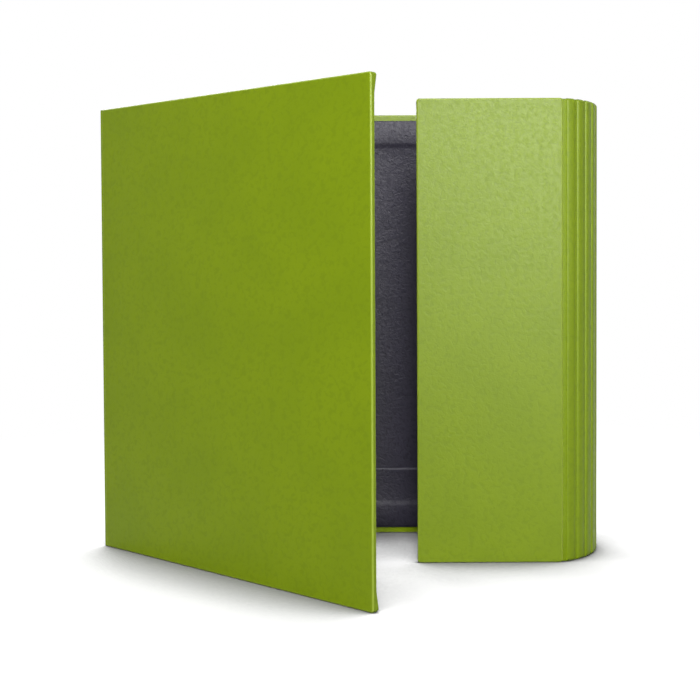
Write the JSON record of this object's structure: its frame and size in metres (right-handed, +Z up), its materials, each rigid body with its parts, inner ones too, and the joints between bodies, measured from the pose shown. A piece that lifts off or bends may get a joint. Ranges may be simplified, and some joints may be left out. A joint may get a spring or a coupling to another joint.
{
  "type": "ring binder",
  "caption": "Turned-edge ring binder with a wide hinged front cover, a narrow front flap on a curved ribbed fore-edge, a dark lining and a riveted ring mechanism.",
  "frame": {"origin": "middle of the back board's bottom edge", "axes": "+X along the back board towards the ribbed fore-edge, +Y out of the back, +Z up as the binder stands"},
  "size_m": [0.3287, 0.1999, 0.2921],
  "materials": {
    "green_leatherette": "fine-grained lime-green leatherette, soft sheen",
    "dark_liner": "fine-grained charcoal leatherette, matt",
    "ring_chrome": "polished",
    "plated_steel": "satin"
  },
  "bodies": {
    "back": {"back_cover": "green_leatherette", "back_liner": "dark_liner", "back_pocket": "dark_liner", "ring_plate": "ring_chrome", "rivet_lower": "plated_steel", "rivet_upper": "plated_steel"},
    "spine": {"spine_cover": "green_leatherette", "spine_liner": "dark_liner"},
    "hinge_strip": {"cover_hinge_strip": "green_leatherette"},
    "front": {"front_cover": "green_leatherette", "front_liner": "dark_liner"},
    "rib_1": {"fore_edge_rib_1": "green_leatherette"},
    "rib_2": {"fore_edge_rib_2": "green_leatherette"},
    "rib_3": {"fore_edge_rib_3": "green_leatherette"},
    "rib_4": {"fore_edge_rib_4": "green_leatherette"},
    "rib_5": {"fore_edge_rib_5": "green_leatherette"},
    "rib_6": {"fore_edge_rib_6": "green_leatherette"},
    "rib_7": {"fore_edge_rib_7": "green_leatherette"},
    "rib_8": {"fore_edge_rib_8": "green_leatherette"},
    "rib_9": {"fore_edge_rib_9": "green_leatherette"},
    "rib_10": {"fore_edge_rib_10": "green_leatherette"},
    "rib_11": {"fore_edge_rib_11": "green_leatherette"},
    "rib_12": {"fore_edge_rib_12": "green_leatherette"},
    "flap": {"front_flap": "green_leatherette", "flap_liner": "dark_liner"},
    "ring_left": {"ring_blade_left": "plated_steel", "ring_left_1": "ring_chrome", "ring_left_2": "ring_chrome", "ring_left_3": "ring_chrome"},
    "ring_right": {"ring_blade_right": "plated_steel", "ring_right_1": "ring_chrome", "ring_right_2": "ring_chrome", "ring_right_3": "ring_chrome"},
    "lever_upper": {"ring_lever_upper": "ring_chrome"},
    "lever_lower": {"ring_lever_lower": "ring_chrome"}
  },
  "joints": [
    {"name": "spine_fold", "type": "hinge", "parent": "back", "child": "spine", "pos_m": [-0.10725, 0.00115, 0], "axis": [0, 0, 1], "range_deg": [-21, 69]},
    {"name": "strip_fold", "type": "hinge", "parent": "spine", "child": "hinge_strip", "pos_m": [-0.18772, -0.02974, 0], "axis": [0, 0, 1], "range_deg": [-26.81, 8.17]},
    {"name": "cover_fold", "type": "hinge", "parent": "hinge_strip", "child": "front", "pos_m": [-0.1931, -0.03567, 0], "axis": [0, 0, 1], "range_deg": [-125, 0]},
    {"name": "fore_edge_fold", "type": "hinge", "parent": "back", "child": "rib_1", "pos_m": [0.10725, -0.00125, 0], "axis": [0, 0, 1], "range_deg": [0, 32]},
    {"name": "rib_2_fold", "type": "hinge", "parent": "rib_1", "child": "rib_2", "pos_m": [0.11453, -0.0058, 0], "axis": [0, 0, 1], "range_deg": [0, 10.56]},
    {"name": "rib_3_fold", "type": "hinge", "parent": "rib_2", "child": "rib_3", "pos_m": [0.12085, -0.0116, 0], "axis": [0, 0, 1], "range_deg": [0, 10.56]},
    {"name": "rib_4_fold", "type": "hinge", "parent": "rib_3", "child": "rib_4", "pos_m": [0.126, -0.01846, 0], "axis": [0, 0, 1], "range_deg": [0, 10.56]},
    {"name": "rib_5_fold", "type": "hinge", "parent": "rib_4", "child": "rib_5", "pos_m": [0.12981, -0.02615, 0], "axis": [0, 0, 1], "range_deg": [0, 10.56]},
    {"name": "rib_6_fold", "type": "hinge", "parent": "rib_5", "child": "rib_6", "pos_m": [0.13215, -0.03441, 0], "axis": [0, 0, 1], "range_deg": [0, 10.56]},
    {"name": "rib_7_fold", "type": "hinge", "parent": "rib_6", "child": "rib_7", "pos_m": [0.13294, -0.04295, 0], "axis": [0, 0, 1], "range_deg": [0, 10.56]},
    {"name": "rib_8_fold", "type": "hinge", "parent": "rib_7", "child": "rib_8", "pos_m": [0.13215, -0.05149, 0], "axis": [0, 0, 1], "range_deg": [0, 10.56]},
    {"name": "rib_9_fold", "type": "hinge", "parent": "rib_8", "child": "rib_9", "pos_m": [0.12981, -0.05975, 0], "axis": [0, 0, 1], "range_deg": [0, 10.56]},
    {"name": "rib_10_fold", "type": "hinge", "parent": "rib_9", "child": "rib_10", "pos_m": [0.126, -0.06744, 0], "axis": [0, 0, 1], "range_deg": [0, 10.56]},
    {"name": "rib_11_fold", "type": "hinge", "parent": "rib_10", "child": "rib_11", "pos_m": [0.12085, -0.0743, 0], "axis": [0, 0, 1], "range_deg": [0, 10.56]},
    {"name": "rib_12_fold", "type": "hinge", "parent": "rib_11", "child": "rib_12", "pos_m": [0.11453, -0.0801, 0], "axis": [0, 0, 1], "range_deg": [0, 10.56]},
    {"name": "flap_fold", "type": "hinge", "parent": "rib_12", "child": "flap", "pos_m": [0.10725, -0.08465, 0], "axis": [0, 0, 1], "range_deg": [0, 32.01]},
    {"name": "rings_open", "type": "hinge", "parent": "back", "child": "ring_left", "pos_m": [-0.0971, -0.00435, 0], "axis": [0, 0, -1], "range_deg": [0, 6.5]},
    {"name": "ring_right_turn", "type": "hinge", "parent": "back", "child": "ring_right", "pos_m": [-0.0749, -0.00435, 0], "axis": [0, 0, 1], "range_deg": [0, 6.51]},
    {"name": "lever_upper_turn", "type": "hinge", "parent": "back", "child": "lever_upper", "pos_m": [-0.086, -0.0048, 0.2813], "axis": [-1, 0, 0], "range_deg": [0, 25.01]},
    {"name": "lever_lower_turn", "type": "hinge", "parent": "back", "child": "lever_lower", "pos_m": [-0.086, -0.0048, 0.0108], "axis": [1, 0, 0], "range_deg": [0, 25.01]}
  ],
  "couplings": [
    {"joint": "strip_fold", "follows": "spine_fold", "ratio": -0.38841},
    {"joint": "rib_2_fold", "follows": "fore_edge_fold", "ratio": 0.32954},
    {"joint": "rib_3_fold", "follows": "fore_edge_fold", "ratio": 0.32954},
    {"joint": "rib_4_fold", "follows": "fore_edge_fold", "ratio": 0.32954},
    {"joint": "rib_5_fold", "follows": "fore_edge_fold", "ratio": 0.32954},
    {"joint": "rib_6_fold", "follows": "fore_edge_fold", "ratio": 0.32954},
    {"joint": "rib_7_fold", "follows": "fore_edge_fold", "ratio": 0.32954},
    {"joint": "rib_8_fold", "follows": "fore_edge_fold", "ratio": 0.32954},
    {"joint": "rib_9_fold", "follows": "fore_edge_fold", "ratio": 0.32954},
    {"joint": "rib_10_fold", "follows": "fore_edge_fold", "ratio": 0.32954},
    {"joint": "rib_11_fold", "follows": "fore_edge_fold", "ratio": 0.32954},
    {"joint": "rib_12_fold", "follows": "fore_edge_fold", "ratio": 0.32954},
    {"joint": "flap_fold", "follows": "fore_edge_fold", "ratio": 1},
    {"joint": "ring_right_turn", "follows": "rings_open", "ratio": 1},
    {"joint": "lever_upper_turn", "follows": "rings_open", "ratio": 3.8462},
    {"joint": "lever_lower_turn", "follows": "rings_open", "ratio": 3.8462}
  ]
}
